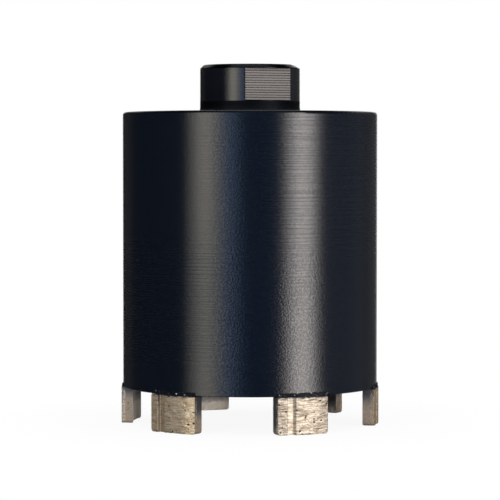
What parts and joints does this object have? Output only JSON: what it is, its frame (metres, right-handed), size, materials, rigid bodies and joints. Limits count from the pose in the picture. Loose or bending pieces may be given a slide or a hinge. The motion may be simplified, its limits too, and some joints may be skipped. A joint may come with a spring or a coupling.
{
  "type": "diamond core bit",
  "caption": "Round hollow core bit with diamond segments brazed round the rim of a closed steel barrel and a threaded drive hub with wrench flats.",
  "frame": {"origin": "centre of the cutting plane, on the tips of the segments", "axes": "+Z along the bit's axis from the cutting end to the drive hub; the wrench flats face -Y and +Y"},
  "size_m": [0.0808, 0.082, 0.1136],
  "materials": {
    "barrel_paint": "thin dark satin paint over a turned steel barrel",
    "hub_paint": "thin dark satin paint over a turned and milled steel hub",
    "weld": "painted weld with fine ripples",
    "segment_metal": "sintered metal with diamond grit, ground with fine streaks along its length",
    "braze": "lumpy painted braze"
  },
  "bodies": {
    "root": {"barrel": "barrel_paint", "back_plate": "barrel_paint", "hub": "hub_paint", "hub_weld": "weld", "segment_1": "segment_metal", "segment_2": "segment_metal", "segment_3": "segment_metal", "segment_4": "segment_metal", "segment_5": "segment_metal", "segment_6": "segment_metal", "braze_seam_1": "braze", "braze_seam_2": "braze", "braze_seam_3": "braze", "braze_seam_4": "braze", "braze_seam_5": "braze", "braze_seam_6": "braze"}
  },
  "joints": []
}
